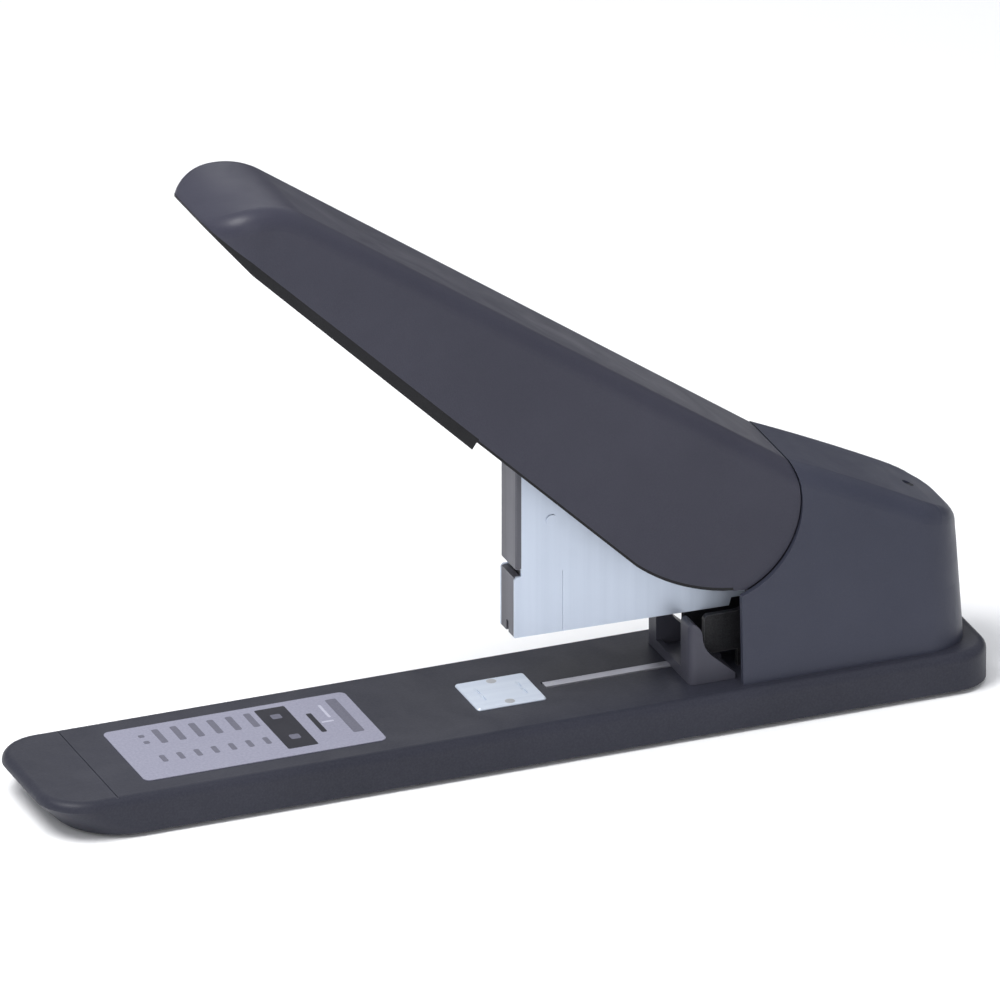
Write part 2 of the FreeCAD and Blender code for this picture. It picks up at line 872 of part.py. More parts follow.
def casing_seam():
    """The fine upright joint line in the side plate, behind the staple chamber's front."""
    return box((26.8, 27.2), (magazine_half_width - 0.3, magazine_half_width + 1), (nose_low - 3, 74.0))


def casing_rivets():
    """Rivets through the side plates; the top pair is short, to leave the driver's column free."""
    face = magazine_half_width
    inner = face - magazine_sheet
    rivets = []
    for x, z in ((90.0, 60.0), (22.0, 98.0)):
        pin = rod_y(x, z, 1.6, (-face, face))
        rivets.append(merged([pin] + both_sides(rod_y(x, z, 2.4, (face, face + 0.5)))))
    short = merged([rod_y(14.5, 121.0, 1.6, (inner, face)), rod_y(14.5, 121.0, 2.6, (face, face + 0.6))])
    return rivets + both_sides(short)


def front_plate():
    """The dark strip that closes the front of the driver's column."""
    plate = box((column_front, front_plate_back), (-magazine_half_width, magazine_half_width),
                (nose_step + nose_notch, column_top))
    return plate.makeChamfer(0.4, [e for e in plate.Edges if e.CenterOfMass.x < column_front + 0.01
                                   and upright(e)])


def nose_plate():
    """The lower nose, between the side plates, which guides the blade."""
    inner = magazine_half_width - magazine_sheet
    z = (nose_low + 0.1, nose_step - nose_notch - 0.4)
    plate = box((nose_front, front_plate_back), (-inner, inner), z)
    slot = box((nose_front - 1, front_plate_back + 1), (-1.2, 1.2), (nose_low - 1, nose_low + 5.0))
    return plate.cut(slot)


def magazine_core():
    """The rail that the staples straddle."""
    rail = box((staple_x[0], rod_end + 2.0), (-core_half_width, core_half_width), (47.2, staple_top - 1.5))
    inner = core_half_width - core_sheet
    hollow = box((staple_x[0] + 2, 86.0), (-inner, inner), (46.0, staple_top - 3.0))
    return without(rail.cut(hollow), casing_rivets())


def staple_strip():
    outer = box(staple_x, (-staple_half_width, staple_half_width), (staple_top - staple_leg, staple_top))
    inner = box((staple_x[0] - 1, staple_x[1] + 1), (-staple_half_width + 1.0, staple_half_width - 1.0),
                (0, staple_top - 1.2))
    strip = outer.cut(inner)
    return strip.makeFillet(0.8, [e for e in strip.Edges if e.BoundBox.ZMin > staple_top - 0.01
                                  and e.Length > 20.0])


def pusher_rod():
    front = 13.0
    shaft = Part.makeCylinder(rod_radius, rod_end - front, point(front, 0, rod_z), point(1, 0, 0))
    tail = Part.makeCylinder(3.4, 2.0, point(rod_end, 0, rod_z), point(1, 0, 0))
    return merged([shaft, tail])


def pusher_spring():
    front = staple_x[1] + pusher_length + 0.5
    spring = coil(2.6, 0.4, 9.0, 0, 0, (0.0, rod_end - front))
    spring.rotate(point(0, 0, 0), point(0, 1, 0), 90)
    spring.translate(point(front, 0, rod_z))
    return spring


def spring_seat():
    seat = box((front_plate_back + 2.4, 30.0), (-magazine_half_width + magazine_sheet,
                                                magazine_half_width - magazine_sheet), spring_seat_z)
    return without(seat, casing_rivets())


def driver_return_spring():
    return coil(4.6, 0.8, 9.0, driver_spring_x, 0, (spring_seat_z[1], head_low))


# ---- driver, pusher and paper stop -------------------------------------------


def driver_blade():
    return box(driver_x, (-driver_half_width, driver_half_width), (driver_low, head_low + 3.0))


def driver_head():
    half = 8.6
    side = outline((-8.0, head_low + 4.0), [
        (-3.0, head_low), (30.0, head_low), (30.0, head_high - 3.0), (26.0, head_high), (-6.0, head_high),
        (-8.0, head_high - 2.0)])
    block = slab(side, (-half, half))
    return without(block, [driver_blade()])


def staple_pusher():
    x = (staple_x[1] + 0.4, staple_x[1] + 0.4 + pusher_length)
    half = staple_half_width
    outer = box(x, (-half, half), (staple_top - staple_leg, rod_z + 2.0))
    inner = box((x[0] - 1, x[1] + 1), (-core_half_width - 0.3, core_half_width + 0.3), (0, staple_top - 1.0))
    bore = Part.makeCylinder(rod_radius + 0.08, 40, point(x[0] - 10, 0, rod_z), point(1, 0, 0))
    return without(outer, [inner, bore])


def fin_outline():
    """One side of the stop: an upright post with a buttress that falls to the rear."""
    front, rear = stop_x
    return outline((front, base_top + slide_gap), [
        (front, stop_post_top - 2.0),
        ((front + 0.6, stop_post_top - 0.6), (front + 2.0, stop_post_top)),
        ((front + 4.6, stop_post_top - 2.6), (front + 5.6, stop_post_top - 7.0)),
        ((front + 7.2, stop_post_top - 12.0), (front + 10.4, stop_post_top - 16.0)),
        (rear, stop_floor_top),
        (rear, base_top + slide_gap)])


def rail_clearance():
    gap = 0.2
    neck = box((rail_x[0] - 60, rail_x[1] + 5), (-rail_neck[0] - gap, rail_neck[0] + gap),
               (rail_groove[1] - 1, rail_neck[1]))
    head = box((rail_x[0] - 60, rail_x[1] + 5), (-rail_head[0] - gap, rail_head[0] + gap),
               (rail_neck[1] - 0.12, rail_head[1] + gap))
    return merged([neck, head])


def paper_stop():
    front, rear = stop_x
    low = base_top + slide_gap
    wall = box((front, front + 2.6), (-stop_half_width, stop_half_width), (low, stop_wall_top))
    floor = box((front, rear), (-stop_half_width, stop_half_width), (low, stop_floor_top))
    bridge = box((front, rear), (-8.5, 8.5), (low, stop_wall_top - 0.6))
    fin = slab(fin_outline(), (fin_inner, stop_half_width))
    body = merged([wall, floor, bridge] + both_sides(fin))
    cuts = both_sides(corner_relief(front)) + [rail_clearance(), glide_block()]
    return without(body, cuts + stop_screws())


def corner_relief(front):
    """What rounds the stop's outer front corners."""
    radius = 3.0
    high = stop_post_top + 1
    block = box((front - 1, front + radius), (stop_half_width - radius, stop_half_width + 1), (0, high))
    round_post = rod_z_axis(front + radius, stop_half_width - radius, radius, (-1, high + 1))
    return block.cut(round_post)


def glide_block():
    front, rear = stop_x
    long = (front + 3.5, rear - 1.5)
    block = box(long, (-6.0, 6.0), (base_top + slide_gap, 21.8))
    tongue = rail_groove[0] - slide_gap
    keel = box(long, (-tongue, tongue), (rail_groove[1] + slide_gap, base_top + slide_gap + 0.5))
    return merged([block, keel])


def stop_glide():
    """The slippery block inside the stop, with a keel that runs in the groove round the rail."""
    return without(glide_block(), [rail_clearance()] + stop_screws())


def stop_screws():
    screws = []
    for y in (-4.3, 4.3):
        head = rod_z_axis(88.0, y, 1.5, (stop_wall_top - 1.2, stop_wall_top - 0.6))
        shank = rod_z_axis(88.0, y, 0.8, (20.4, stop_wall_top - 1.2))
        screws.append(merged([head, shank]))
    return screws


def build():
    return {
        "base_tray": base_tray(),
        "base_bottom_plate": base_bottom_plate(),
        "bottom_plate_screws": group(bottom_screws()),
        "rubber_feet": group(rubber_feet()),
        "base_label": label_plate(),
        "anvil_plate": anvil_plate(),
        "anvil_screws": group(anvil_screws()),
        "stop_rail": stop_rail(),
        "rail_screws": group(rail_screws()),
        "frame_plate_near": frame_plate(-1),
        "frame_plate_far": frame_plate(1),
        "frame_spacers": group(frame_spacers()),
        "frame_bolts": group(frame_bolts()),
        "frame_nuts": group(frame_nuts()),
        "handle_pivot_pin": handle_pivot_pin(),
        "magazine_pivot_pin": magazine_pivot_pin(),
        "pivot_washers": group(pivot_washers()),
        "pivot_clips": group(pivot_clips()),
        "head_return_spring": head_return_spring(),
        "rear_housing": rear_housing(),
        "housing_screws": group(housing_screws()),
        "housing_top_screw": housing_top_screw(),
        "handle_cover": handle_cover(),
        "handle_liner": handle_liner(),
        "lever_channel": lever_channel(),
        "press_bar": press_bar_shape(),
        "cover_screws": group(cover_screws()),
        "magazine_casing": magazine_casing(),
        "casing_rivets": group(casing_rivets()),
        "front_plate": front_plate(),
        "nose_plate": nose_plate(),
        "magazine_core": magazine_core(),
        "staple_strip": staple_strip(),
        "pusher_rod": pusher_rod(),
        "pusher_spring": pusher_spring(),
        "spring_seat": spring_seat(),
        "driver_return_spring": driver_return_spring(),
        "driver_blade": driver_blade(),
        "driver_head": driver_head(),
        "staple_pusher": staple_pusher(),
        "paper_stop": paper_stop(),
        "stop_glide": stop_glide(),
        "stop_screws": group(stop_screws()),
    }


os.makedirs("parts", exist_ok=True)
for name, shape in build().items():
    shape.exportStep("parts/" + name + ".step")
    print(name, len(shape.Solids), round(shape.Volume, 1), shape.isValid())
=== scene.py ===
import math
import bpy
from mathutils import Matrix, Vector


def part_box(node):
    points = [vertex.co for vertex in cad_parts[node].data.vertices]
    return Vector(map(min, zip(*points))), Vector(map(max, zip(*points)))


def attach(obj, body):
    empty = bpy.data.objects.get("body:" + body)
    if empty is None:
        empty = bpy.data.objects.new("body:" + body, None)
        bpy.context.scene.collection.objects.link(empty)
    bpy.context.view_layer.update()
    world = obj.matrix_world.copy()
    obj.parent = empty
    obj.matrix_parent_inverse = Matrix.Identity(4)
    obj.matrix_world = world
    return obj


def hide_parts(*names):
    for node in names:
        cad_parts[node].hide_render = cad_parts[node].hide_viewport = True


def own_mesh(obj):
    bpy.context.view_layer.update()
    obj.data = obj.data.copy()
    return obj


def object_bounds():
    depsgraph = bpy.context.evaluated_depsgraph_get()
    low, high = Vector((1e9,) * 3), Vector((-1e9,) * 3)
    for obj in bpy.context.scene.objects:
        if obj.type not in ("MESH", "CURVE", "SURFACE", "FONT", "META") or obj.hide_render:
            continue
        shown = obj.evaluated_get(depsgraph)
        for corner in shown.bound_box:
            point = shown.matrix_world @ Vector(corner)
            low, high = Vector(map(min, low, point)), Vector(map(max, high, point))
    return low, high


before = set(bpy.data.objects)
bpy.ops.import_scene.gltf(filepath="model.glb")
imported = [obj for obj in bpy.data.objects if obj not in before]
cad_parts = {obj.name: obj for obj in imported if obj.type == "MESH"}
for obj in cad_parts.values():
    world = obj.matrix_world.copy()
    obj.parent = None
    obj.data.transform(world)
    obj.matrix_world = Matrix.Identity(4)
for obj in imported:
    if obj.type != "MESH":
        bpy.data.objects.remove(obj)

print("frame loaded:", len(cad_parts), "nodes")
cadBox = [list(corner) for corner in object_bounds()]
studioScene = bpy.context.scene
studioScene.view_settings.view_transform = "Standard"
bpy.ops.object.select_all(action="DESELECT")


# camera, floor and lights

cameraSet = {
    "azimuth": -22.0,
    "elevation": 24.87,
    "lens": 1000.0,
    "sensor": 36.0,
    "frameWidth": 0.4167,    # metres across the picture
    "right": 0.0021,         # where the picture's middle is, from the origin
    "up": 0.0975,
    "clipRatio": 3,          # how far the camera sees, in distances to the object
}


def placeCamera(values):
    turn = math.radians(values["azimuth"])
    rise = math.radians(values["elevation"])
    right = Vector((math.cos(turn), math.sin(turn), 0))
    back = Vector((math.sin(turn) * math.cos(rise), -math.cos(turn) * math.cos(rise), math.sin(rise)))
    up = back.cross(right)
    distance = values["frameWidth"] * values["lens"] / values["sensor"]
    target = right * values["right"] + up * values["up"]
    bpy.ops.object.camera_add(location=target + back * distance)
    camera = bpy.context.object
    camera.name = "studioCamera"
    camera.rotation_mode = "QUATERNION"
    camera.rotation_quaternion = (-back).to_track_quat("-Z", "Y")
    camera.data.lens = values["lens"]
    camera.data.sensor_width = values["sensor"]
    camera.data.clip_end = distance * values["clipRatio"]
    studioScene.camera = camera


floorSet = {"size": 14.0, "colour": (0.985, 0.985, 0.985), "roughness": 0.75, "specular": 0.2}

softboxes = {
    "overheadSoftbox": {"at": (-0.25, -0.25, 1.7), "size": 1.5, "power": 3.5},
    "leftSoftbox": {"at": (-0.72, -0.2, 1.4), "size": 0.7, "power": 20.0},
    "cameraSoftbox": {"at": (-0.3, -2.0, 0.8), "size": 1.4, "power": 6.5},
    "backSoftbox": {"at": (0.6, 1.7, 1.1), "size": 1.2, "power": 3.0},
}
softboxAim = (0, 0, 0.1)
worldLight = {"colour": (0.93, 0.95, 1.0), "strength": 0.66}


def addSoftbox(name, values):
    place = Vector(values["at"])
    bpy.ops.object.light_add(type="AREA", location=place)
    lamp = bpy.context.object
    lamp.name = name
    aim = Vector(softboxAim) - place
    lamp.rotation_euler = aim.to_track_quat("-Z", "Y").to_euler()
    lamp.data.size = values["size"]
    lamp.data.energy = values["power"]


def lightWorld(values):
    world = bpy.data.worlds.new("studioWorld")
    world.use_nodes = True
    background = world.node_tree.nodes["Background"]
    background.inputs["Color"].default_value = (*values["colour"], 1)
    background.inputs["Strength"].default_value = values["strength"]
    studioScene.world = world


placeCamera(cameraSet)
lightWorld(worldLight)
for softboxName, softboxValues in softboxes.items():
    addSoftbox(softboxName, softboxValues)
print("camera and", len(softboxes), "softboxes placed")


# nodes and shared effects

def addNode(tree, kind, place, inputs=None, **settings):
    node = tree.nodes.new(kind)
    node.location = place
    for key, value in settings.items():
        setattr(node, key, value)
    for socket, value in (inputs or {}).items():
        node.inputs[socket].default_value = value
    return node


def newEffect(name, inputs, outputs):
    effect = bpy.data.node_groups.new(name, "ShaderNodeTree")
    for label, kind, value in inputs:
        socket = effect.interface.new_socket(name=label, in_out="INPUT", socket_type=kind)
        socket.default_value = value
    for label, kind in outputs:
        effect.interface.new_socket(name=label, in_out="OUTPUT", socket_type=kind)
    start = addNode(effect, "NodeGroupInput", (-900, 0))
    end = addNode(effect, "NodeGroupOutput", (700, 0))
    return effect, start, end


def makeGrainEffect():
    # spark-eroded mould texture: fine pits, and a slow drift of tone over the surface
    effect, start, end = newEffect(
        "mouldGrain",
        [("Grain Scale", "NodeSocketFloat", 1900.0), ("Drift Scale", "NodeSocketFloat", 18.0)],
        [("Height", "NodeSocketFloat"), ("Drift", "NodeSocketFloat"), ("Speck", "NodeSocketFloat")])
    links = effect.links
    place = addNode(effect, "ShaderNodeTexCoord", (-900, -250))
    pits = addNode(effect, "ShaderNodeTexNoise", (-500, 200), {"Detail": 2.0, "Roughness": 0.6})
    cells = addNode(effect, "ShaderNodeTexVoronoi", (-500, -50), feature="SMOOTH_F1")
    drift = addNode(effect, "ShaderNodeTexNoise", (-500, -350), {"Detail": 4.0, "Roughness": 0.55})
    both = addNode(effect, "ShaderNodeMath", (-150, 100), operation="ADD")
    for texture in (pits, cells, drift):
        links.new(place.outputs["Object"], texture.inputs["Vector"])
    links.new(start.outputs["Grain Scale"], pits.inputs["Scale"])
    links.new(start.outputs["Grain Scale"], cells.inputs["Scale"])
    links.new(start.outputs["Drift Scale"], drift.inputs["Scale"])
    links.new(pits.outputs["Fac"], both.inputs[0])
    links.new(cells.outputs["Distance"], both.inputs[1])
    links.new(both.outputs[0], end.inputs["Height"])
    links.new(drift.outputs["Fac"], end.inputs["Drift"])
    links.new(pits.outputs["Fac"], end.inputs["Speck"])
    return effect


def makeBrushEffect():
    # brushing: noise drawn out along one axis, coarse and fine together
    effect, start, end = newEffect(
        "brushedLines",
        [("Stretch", "NodeSocketVector", (1.0, 60.0, 60.0)), ("Line Scale", "NodeSocketFloat", 60.0)],
        [("Height", "NodeSocketFloat"), ("Streak", "NodeSocketFloat")])
    links = effect.links
    place = addNode(effect, "ShaderNodeTexCoord", (-900, -250))
    drawn = addNode(effect, "ShaderNodeVectorMath", (-650, -100), operation="MULTIPLY")
    fine = addNode(effect, "ShaderNodeTexNoise", (-350, 150), {"Detail": 5.0, "Roughness": 0.7})
    coarse = addNode(effect, "ShaderNodeTexNoise", (-350, -200), {"Scale": 4.0, "Detail": 3.0})
    links.new(place.outputs["Object"], drawn.inputs[0])
    links.new(start.outputs["Stretch"], drawn.inputs[1])
    links.new(start.outputs["Line Scale"], fine.inputs["Scale"])
    links.new(drawn.outputs["Vector"], fine.inputs["Vector"])
    links.new(drawn.outputs["Vector"], coarse.inputs["Vector"])
    links.new(fine.outputs["Fac"], end.inputs["Height"])
    links.new(coarse.outputs["Fac"], end.inputs["Streak"])
    return effect


def makeEdgeEffect():
    # rubbed edges: where a rounded normal leaves the true one, broken up by noise
    effect, start, end = newEffect(
        "rubbedEdge",
        [("Width", "NodeSocketFloat", 0.0006), ("Break Scale", "NodeSocketFloat", 160.0)],
        [("Rub", "NodeSocketFloat")])
    links = effect.links
    place = addNode(effect, "ShaderNodeTexCoord", (-900, -350))
    true = addNode(effect, "ShaderNodeNewGeometry", (-650, -150))
    rounded = addNode(effect, "ShaderNodeBevel", (-650, 150), samples=4)
    facing = addNode(effect, "ShaderNodeVectorMath", (-400, 50), operation="DOT_PRODUCT")
    bent = addNode(effect, "ShaderNodeMapRange", (-200, 50),
                   {"From Min": 0.995, "From Max": 0.86, "To Min": 0.0, "To Max": 1.0})
    broken = addNode(effect, "ShaderNodeTexNoise", (-400, -300), {"Detail": 5.0, "Roughness": 0.7})
    rub = addNode(effect, "ShaderNodeMath", (200, 0), operation="MULTIPLY")
    links.new(start.outputs["Width"], rounded.inputs["Radius"])
    links.new(rounded.outputs["Normal"], facing.inputs[0])
    links.new(true.outputs["Normal"], facing.inputs[1])
    links.new(facing.outputs["Value"], bent.inputs["Value"])
    links.new(place.outputs["Object"], broken.inputs["Vector"])
    links.new(start.outputs["Break Scale"], broken.inputs["Scale"])
    links.new(bent.outputs["Result"], rub.inputs[0])
    links.new(broken.outputs["Fac"], rub.inputs[1])
    links.new(rub.outputs[0], end.inputs["Rub"])
    return effect


def makeHandlingEffect():
    # finger smears and fine scratches that change how sharp the gloss is
    effect, start, end = newEffect(
        "handlingMarks",
        [("Smear Scale", "NodeSocketFloat", 30.0), ("Scratch Scale", "NodeSocketFloat", 14.0)],
        [("Smear", "NodeSocketFloat"), ("Scratch", "NodeSocketFloat")])
    links = effect.links
    place = addNode(effect, "ShaderNodeTexCoord", (-900, -250))
    smear = addNode(effect, "ShaderNodeTexNoise", (-500, 150),
                    {"Detail": 3.0, "Roughness": 0.5, "Distortion": 1.2})
    drawn = addNode(effect, "ShaderNodeMapping", (-700, -200),
                    {"Rotation": (0.3, 0.2, 0.5), "Scale": (1.0, 26.0, 9.0)})
    scratch = addNode(effect, "ShaderNodeTexNoise", (-500, -200), {"Detail": 6.0, "Roughness": 0.75})
    thin = addNode(effect, "ShaderNodeMapRange", (-200, -200), {"From Min": 0.63, "From Max": 0.7})
    links.new(place.outputs["Object"], smear.inputs["Vector"])
    links.new(place.outputs["Object"], drawn.inputs["Vector"])
    links.new(drawn.outputs["Vector"], scratch.inputs["Vector"])
    links.new(start.outputs["Smear Scale"], smear.inputs["Scale"])
    links.new(start.outputs["Scratch Scale"], scratch.inputs["Scale"])
    links.new(scratch.outputs["Fac"], thin.inputs["Value"])
    links.new(smear.outputs["Fac"], end.inputs["Smear"])
    links.new(thin.outputs["Result"], end.inputs["Scratch"])
    return effect


mouldGrain = makeGrainEffect()
brushedLines = makeBrushEffect()
rubbedEdge = makeEdgeEffect()
handlingMarks = makeHandlingEffect()
print("shared effects ready")


# finishes

def newFinish(name, metallic, specular):
    finish = bpy.data.materials.new(name)
    finish.use_nodes = True
    tree = finish.node_tree
    shader = tree.nodes["Principled BSDF"]
    shader.location = (600, 0)
    shader.inputs["Metallic"].default_value = metallic
    shader.inputs["Specular IOR Level"].default_value = specular
    return finish, tree, shader


def fillEffect(tree, effect, place, inputs):
    node = tree.nodes.new("ShaderNodeGroup")
    node.node_tree = effect
    node.location = place
    for socket, value in inputs.items():
        node.inputs[socket].default_value = value
    return node


def mixColour(tree, place, factor, first, second):
    # factor is a socket; first and second are colours or sockets
    node = addNode(tree, "ShaderNodeMixRGB", place)
    tree.links.new(factor, node.inputs["Fac"])
    for slot, value in (("Color1", first), ("Color2", second)):
        if isinstance(value, tuple):
            node.inputs[slot].default_value = (*value, 1)
        else:
            tree.links.new(value, node.inputs[slot])
    return node.outputs["Color"]


def spread(tree, place, value, low, high, floorValue=0.3, topValue=0.7):
    # stretches a noise value to run from low to high
    node = addNode(tree, "ShaderNodeMapRange", place,
                   {"From Min": floorValue, "From Max": topValue, "To Min": low, "To Max": high})
    tree.links.new(value, node.inputs["Value"])
    return node.outputs["Result"]


def bumpFrom(tree, shader, place, height, strength, distance):
    node = addNode(tree, "ShaderNodeBump", place, {"Strength": strength, "Distance": distance})
    tree.links.new(height, node.inputs["Height"])
    tree.links.new(node.outputs["Normal"], shader.inputs["Normal"])


def mouldedFinish(name, look):
    # satin moulded plastic or powder coat: grain, tone drift, rubbed edges, smeared gloss
    finish, tree, shader = newFinish(name, 0.0, look["specular"])
    grain = fillEffect(tree, mouldGrain, (-700, 200),
                       {"Grain Scale": look["grainScale"], "Drift Scale": look["driftScale"]})
    edge = fillEffect(tree, rubbedEdge, (-700, -100), {"Width": look["edgeWidth"]})
    marks = fillEffect(tree, handlingMarks, (-700, -350), {})
    drift = spread(tree, (-450, 300), grain.outputs["Drift"], 0.0, 1.0)
    base = mixColour(tree, (-200, 300), drift, look["dark"], look["light"])
    speck = spread(tree, (-450, 100), grain.outputs["Speck"], 0.0, look["speck"], 0.35, 0.75)
    specked = mixColour(tree, (0, 250), speck, base, look["worn"])
    rub = spread(tree, (-450, -100), edge.outputs["Rub"], 0.0, look["rub"], 0.0, 0.8)
    rubbed = mixColour(tree, (200, 200), rub, specked, look["worn"])
    tree.links.new(rubbed, shader.inputs["Base Color"])
    rough = spread(tree, (-450, -350), marks.outputs["Smear"], look["roughLow"], look["roughHigh"])
    tree.links.new(rough, shader.inputs["Roughness"])
    bumpFrom(tree, shader, (350, -300), grain.outputs["Height"], look["bump"], look["bumpDepth"])
    return finish


def brushedFinish(name, look):
    # bare or lacquered steel with brushing along one axis
    finish, tree, shader = newFinish(name, look["metallic"], look["specular"])
    brush = fillEffect(tree, brushedLines, (-700, 200),
                       {"Stretch": look["stretch"], "Line Scale": look["lineScale"]})
    edge = fillEffect(tree, rubbedEdge, (-700, -100), {"Width": look["edgeWidth"]})
    marks = fillEffect(tree, handlingMarks, (-700, -350), {})
    streak = spread(tree, (-450, 300), brush.outputs["Streak"], 0.0, 1.0)
    base = mixColour(tree, (-200, 300), streak, look["dark"], look["light"])
    rub = spread(tree, (-450, -100), edge.outputs["Rub"], 0.0, look["rub"], 0.0, 0.8)
    rubbed = mixColour(tree, (100, 200), rub, base, look["worn"])
    tree.links.new(rubbed, shader.inputs["Base Color"])
    rough = spread(tree, (-450, -350), brush.outputs["Height"], look["roughLow"], look["roughHigh"])
    smear = spread(tree, (-450, -550), marks.outputs["Smear"], 0.0, look["smear"])
    both = addNode(tree, "ShaderNodeMath", (-200, -400), operation="ADD")
    tree.links.new(rough, both.inputs[0])
    tree.links.new(smear, both.inputs[1])
    tree.links.new(both.outputs[0], shader.inputs["Roughness"])
    bumpFrom(tree, shader, (350, -300), brush.outputs["Height"], look["bump"], look["bumpDepth"])
    return finish


charcoalPlastic = {
    "dark": (0.029, 0.029, 0.044), "light": (0.036, 0.036, 0.053), "worn": (0.07, 0.07, 0.09),
    "specular": 0.25, "grainScale": 1700.0, "driftScale": 16.0, "edgeWidth": 0.0007,
    "speck": 0.12, "rub": 0.4, "roughLow": 0.36, "roughHigh": 0.48, "bump": 0.28, "bumpDepth": 0.00006,
}
finishes = {}
finishes["charcoalPlastic"] = mouldedFinish("charcoalPlastic", charcoalPlastic)
finishes["housingPlastic"] = mouldedFinish("housingPlastic", dict(
    charcoalPlastic, dark=(0.031, 0.034, 0.053), light=(0.038, 0.041, 0.062)))
finishes["baseEnamel"] = mouldedFinish("baseEnamel", dict(
    charcoalPlastic, dark=(0.02, 0.021, 0.031), light=(0.026, 0.027, 0.039), worn=(0.09, 0.09, 0.11),
    specular=0.2, grainScale=1100.0, roughLow=0.38, roughHigh=0.48))
finishes["stopPlastic"] = mouldedFinish("stopPlastic", dict(
    charcoalPlastic, dark=(0.05, 0.05, 0.066), light=(0.062, 0.062, 0.08), grainScale=2200.0))
finishes["blackPlastic"] = mouldedFinish("blackPlastic", dict(
    charcoalPlastic, dark=(0.005, 0.005, 0.006), light=(0.008, 0.008, 0.01), worn=(0.03, 0.03, 0.035),
    roughLow=0.5, roughHigh=0.65))
finishes["framePaint"] = mouldedFinish("framePaint", dict(
    charcoalPlastic, dark=(0.008, 0.008, 0.01), light=(0.014, 0.014, 0.017), worn=(0.2, 0.2, 0.21),
    specular=0.35, rub=0.6, roughLow=0.36, roughHigh=0.5))
finishes["footRubber"] = mouldedFinish("footRubber", dict(
    charcoalPlastic, dark=(0.006, 0.006, 0.006), light=(0.012, 0.012, 0.012), worn=(0.05, 0.05, 0.048),
    grainScale=2600.0, roughLow=0.7, roughHigh=0.9, bump=0.5))
finishes["acetal"] = mouldedFinish("acetal", dict(
    charcoalPlastic, dark=(0.5, 0.49, 0.45), light=(0.58, 0.57, 0.53), worn=(0.66, 0.65, 0.62),
    specular=0.45, rub=0.2, roughLow=0.3, roughHigh=0.42, bump=0.12))

magazineSteel = {
    "dark": (0.52, 0.58, 0.68), "light": (0.56, 0.62, 0.72), "worn": (0.78, 0.82, 0.88),
    "metallic": 0.55, "specular": 0.5, "stretch": (60.0, 60.0, 1.0), "lineScale": 45.0,
    "edgeWidth": 0.0004, "rub": 0.4, "roughLow": 0.38, "roughHigh": 0.48, "smear": 0.08, "bump": 0.06,
    "bumpDepth": 0.00004,
}
finishes["magazineSteel"] = brushedFinish("magazineSteel", magazineSteel)
finishes["noseSteel"] = brushedFinish("noseSteel", dict(
    magazineSteel, dark=(0.09, 0.09, 0.105), light=(0.13, 0.13, 0.15), worn=(0.4, 0.4, 0.44)))
finishes["anvilSteel"] = brushedFinish("anvilSteel", dict(
    magazineSteel, dark=(0.6, 0.66, 0.76), light=(0.67, 0.73, 0.82), metallic=0.4,
    stretch=(1.0, 60.0, 60.0)))
finishes["railSteel"] = brushedFinish("railSteel", dict(
    magazineSteel, dark=(0.42, 0.42, 0.47), light=(0.5, 0.5, 0.55), metallic=0.7,
    stretch=(1.0, 70.0, 70.0)))
finishes["groundSteel"] = brushedFinish("groundSteel", dict(
    magazineSteel, dark=(0.42, 0.42, 0.44), light=(0.55, 0.55, 0.57), metallic=1.0,
    stretch=(70.0, 2.0, 70.0), roughLow=0.2, roughHigh=0.34))
finishes["zincPlate"] = brushedFinish("zincPlate", dict(
    magazineSteel, dark=(0.42, 0.43, 0.45), light=(0.58, 0.59, 0.61), metallic=1.0,
    stretch=(20.0, 20.0, 20.0), roughLow=0.26, roughHigh=0.44))
finishes["blackOxide"] = brushedFinish("blackOxide", dict(
    magazineSteel, dark=(0.02, 0.02, 0.022), light=(0.04, 0.04, 0.045), worn=(0.2, 0.2, 0.2),
    metallic=0.6, stretch=(20.0, 20.0, 20.0), roughLow=0.34, roughHigh=0.5))
finishes["springWire"] = brushedFinish("springWire", dict(
    magazineSteel, dark=(0.16, 0.16, 0.17), light=(0.3, 0.3, 0.31), metallic=1.0,
    stretch=(30.0, 30.0, 30.0), roughLow=0.2, roughHigh=0.36))
finishes["stapleWire"] = brushedFinish("stapleWire", dict(
    magazineSteel, dark=(0.55, 0.55, 0.56), light=(0.7, 0.7, 0.71), metallic=1.0,
    stretch=(4.0, 50.0, 50.0), roughLow=0.18, roughHigh=0.32))


def labelFinish(name, look):
    # printed foil or ink: a fine fleck under a thin clear film
    finish, tree, shader = newFinish(name, look["metallic"], look["specular"])
    grain = fillEffect(tree, mouldGrain, (-700, 200),
                       {"Grain Scale": look["fleckScale"], "Drift Scale": look["driftScale"]})
    marks = fillEffect(tree, handlingMarks, (-700, -300), {})
    fleck = spread(tree, (-450, 200), grain.outputs["Speck"], 0.0, 1.0, 0.3, 0.7)
    colour = mixColour(tree, (-150, 250), fleck, look["dark"], look["light"])
    tree.links.new(colour, shader.inputs["Base Color"])
    rough = spread(tree, (-450, -300), marks.outputs["Smear"], look["roughLow"], look["roughHigh"])
    tree.links.new(rough, shader.inputs["Roughness"])
    shader.inputs["Coat Weight"].default_value = look["coat"]
    shader.inputs["Coat Roughness"].default_value = look["coatRoughness"]
    bumpFrom(tree, shader, (350, -300), grain.outputs["Height"], look["bump"], look["bumpDepth"])
    return finish


